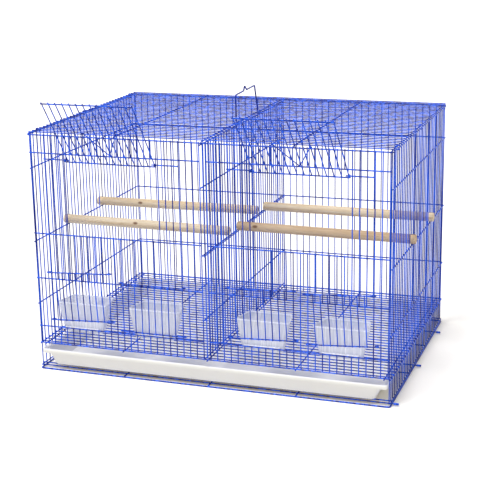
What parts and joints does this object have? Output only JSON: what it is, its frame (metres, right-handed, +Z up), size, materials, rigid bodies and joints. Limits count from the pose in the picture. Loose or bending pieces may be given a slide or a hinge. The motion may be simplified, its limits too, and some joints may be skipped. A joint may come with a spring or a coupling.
{
  "type": "canary breeding cage",
  "caption": "Wire breeding cage for canaries with a slide-in divider, flap doors, lifting feeder doors with cups, perches, a tray and a carry handle.",
  "frame": {"origin": "on the ground, under the middle of the cage", "axes": "+X to the right as seen from the front with the doors, +Y to the back, +Z up"},
  "size_m": [0.6365, 0.5288, 0.482],
  "materials": {
    "blue_wire": "glossy plastic coating over steel wire",
    "dark_wire": "glossy plastic coating over steel wire",
    "tray_plastic": "satin moulded plastic",
    "cup_plastic": "clear frosty plastic",
    "perch_wood": "bare planed wood"
  },
  "bodies": {
    "cage": {"front_panel": "blue_wire", "back_panel": "blue_wire", "left_panel": "blue_wire", "right_panel": "blue_wire", "top_panel": "blue_wire", "floor_grille": "blue_wire", "base_frame": "blue_wire", "panel_clips": "blue_wire"},
    "door_left": {"door_left": "blue_wire"},
    "door_catch_left": {"door_catch_left": "blue_wire"},
    "door_right": {"door_right": "blue_wire"},
    "door_catch_right": {"door_catch_right": "blue_wire"},
    "feeder_door_1": {"feeder_door_1": "blue_wire"},
    "feeder_cup_1": {"feeder_cup_1": "cup_plastic"},
    "feeder_door_2": {"feeder_door_2": "blue_wire"},
    "feeder_cup_2": {"feeder_cup_2": "cup_plastic"},
    "feeder_door_3": {"feeder_door_3": "blue_wire"},
    "feeder_cup_3": {"feeder_cup_3": "cup_plastic"},
    "feeder_door_4": {"feeder_door_4": "blue_wire"},
    "feeder_cup_4": {"feeder_cup_4": "cup_plastic"},
    "perch_left_front": {"perch_left_front": "perch_wood"},
    "perch_left_back": {"perch_left_back": "perch_wood"},
    "perch_right_front": {"perch_right_front": "perch_wood"},
    "perch_right_back": {"perch_right_back": "perch_wood"},
    "divider": {"divider": "blue_wire"},
    "tray": {"tray": "tray_plastic"},
    "carry_handle": {"carry_handle": "dark_wire"}
  },
  "joints": [
    {"name": "door_left_hinge", "type": "hinge", "parent": "cage", "child": "door_left", "pos_m": [-0.1614, -0.21798, 0.373], "axis": [1, 0, 0], "range_deg": [0, 143.5]},
    {"name": "door_catch_left_slide", "type": "slide", "parent": "door_left", "child": "door_catch_left", "axis": [0, -0.5948, 0.8039], "range_m": [0, 0.06]},
    {"name": "door_right_hinge", "type": "hinge", "parent": "cage", "child": "door_right", "pos_m": [0.1614, -0.21798, 0.373], "axis": [1, 0, 0], "range_deg": [0, 138]},
    {"name": "door_catch_right_slide", "type": "slide", "parent": "door_right", "child": "door_catch_right", "axis": [0, -0.6691, 0.7431], "range_m": [0, 0.06]},
    {"name": "feeder_door_1_lift", "type": "slide", "parent": "cage", "child": "feeder_door_1", "axis": [0, 0, 1], "range_m": [-0.006, 0.052]},
    {"name": "feeder_cup_1_slide", "type": "slide", "parent": "cage", "child": "feeder_cup_1", "axis": [0, 1, 0], "range_m": [0, 0.05]},
    {"name": "feeder_door_2_lift", "type": "slide", "parent": "cage", "child": "feeder_door_2", "axis": [0, 0, 1], "range_m": [0, 0.065]},
    {"name": "feeder_cup_2_slide", "type": "slide", "parent": "cage", "child": "feeder_cup_2", "axis": [0, 1, 0], "range_m": [0, 0.05]},
    {"name": "feeder_door_3_lift", "type": "slide", "parent": "cage", "child": "feeder_door_3", "axis": [0, 0, 1], "range_m": [-0.006, 0.052]},
    {"name": "feeder_cup_3_slide", "type": "slide", "parent": "cage", "child": "feeder_cup_3", "axis": [0, 1, 0], "range_m": [0, 0.05]},
    {"name": "feeder_door_4_lift", "type": "slide", "parent": "cage", "child": "feeder_door_4", "axis": [0, 0, 1], "range_m": [-0.006, 0.05]},
    {"name": "feeder_cup_4_slide", "type": "slide", "parent": "cage", "child": "feeder_cup_4", "axis": [0, 1, 0], "range_m": [0, 0.05]},
    {"name": "perch_left_front_lift", "type": "slide", "parent": "cage", "child": "perch_left_front", "axis": [0, 0, 1], "range_m": [0, 0.09]},
    {"name": "perch_left_back_lift", "type": "slide", "parent": "cage", "child": "perch_left_back", "axis": [0, 0, 1], "range_m": [0, 0.09]},
    {"name": "perch_right_front_lift", "type": "slide", "parent": "cage", "child": "perch_right_front", "axis": [0, 0, 1], "range_m": [0, 0.09]},
    {"name": "perch_right_back_lift", "type": "slide", "parent": "cage", "child": "perch_right_back", "axis": [0, 0, 1], "range_m": [0, 0.09]},
    {"name": "divider_slide", "type": "slide", "parent": "cage", "child": "divider", "axis": [0, -1, 0], "range_m": [0, 0.4]},
    {"name": "tray_slide", "type": "slide", "parent": "cage", "child": "tray", "axis": [0, -1, 0], "range_m": [0, 0.38]},
    {"name": "carry_handle_swing", "type": "hinge", "parent": "cage", "child": "carry_handle", "pos_m": [0, 0, 0.4155], "axis": [0, 1, 0], "range_deg": [-70, 70]}
  ]
}
